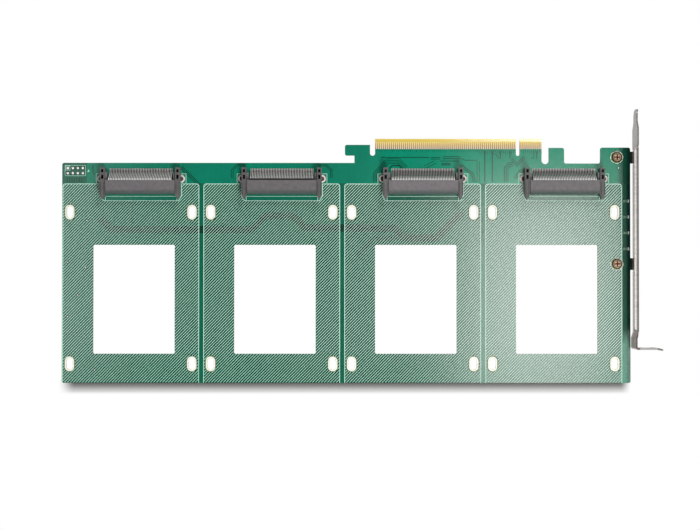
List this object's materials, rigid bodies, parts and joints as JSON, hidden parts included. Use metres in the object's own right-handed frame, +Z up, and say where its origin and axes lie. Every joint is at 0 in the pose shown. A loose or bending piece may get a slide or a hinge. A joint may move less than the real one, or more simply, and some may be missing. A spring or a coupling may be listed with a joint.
{
  "type": "drive adapter expansion card",
  "caption": "Long flat expansion card with edge contacts, a slot bracket and a row of right-angle drive receptacles over rectangular windows.",
  "frame": {"origin": "centre of the overall box, on the level that the card lies on", "axes": "+X towards the slot bracket, +Y towards the edge contacts, +Z up out of the component side"},
  "size_m": [0.3016, 0.1376, 0.0184],
  "materials": {
    "board": "green solder mask over glass-fibre board",
    "gold": "gold-plated contact strips",
    "housing": "moulded dark grey plastic",
    "lead_metal": "tin-plated leads",
    "lock_metal": "solder and tinned steel",
    "bracket_steel": "nickel-plated steel sheet",
    "screw_steel": "bronze-toned plated steel",
    "lamp": "clear resin lamp chip",
    "resistor": "black film on ceramic",
    "chip": "moulded black package",
    "capacitor": "tan ceramic"
  },
  "bodies": {
    "root": {"circuit_board": "board", "edge_contacts_front": "gold", "edge_contacts_back": "gold", "slot_bracket": "bracket_steel", "bracket_screw_upper": "screw_steel", "bracket_screw_lower": "screw_steel", "status_lights": "lamp", "light_resistors": "resistor", "clock_buffer_chip": "chip", "clock_resistors": "resistor", "bypass_capacitors": "capacitor", "drive_connector_housing_1": "housing", "connector_leads_1": "lead_metal", "board_locks_1": "lock_metal", "drive_connector_housing_2": "housing", "connector_leads_2": "lead_metal", "board_locks_2": "lock_metal", "drive_connector_housing_3": "housing", "connector_leads_3": "lead_metal", "board_locks_3": "lock_metal", "drive_connector_housing_4": "housing", "connector_leads_4": "lead_metal", "board_locks_4": "lock_metal"}
  },
  "joints": []
}
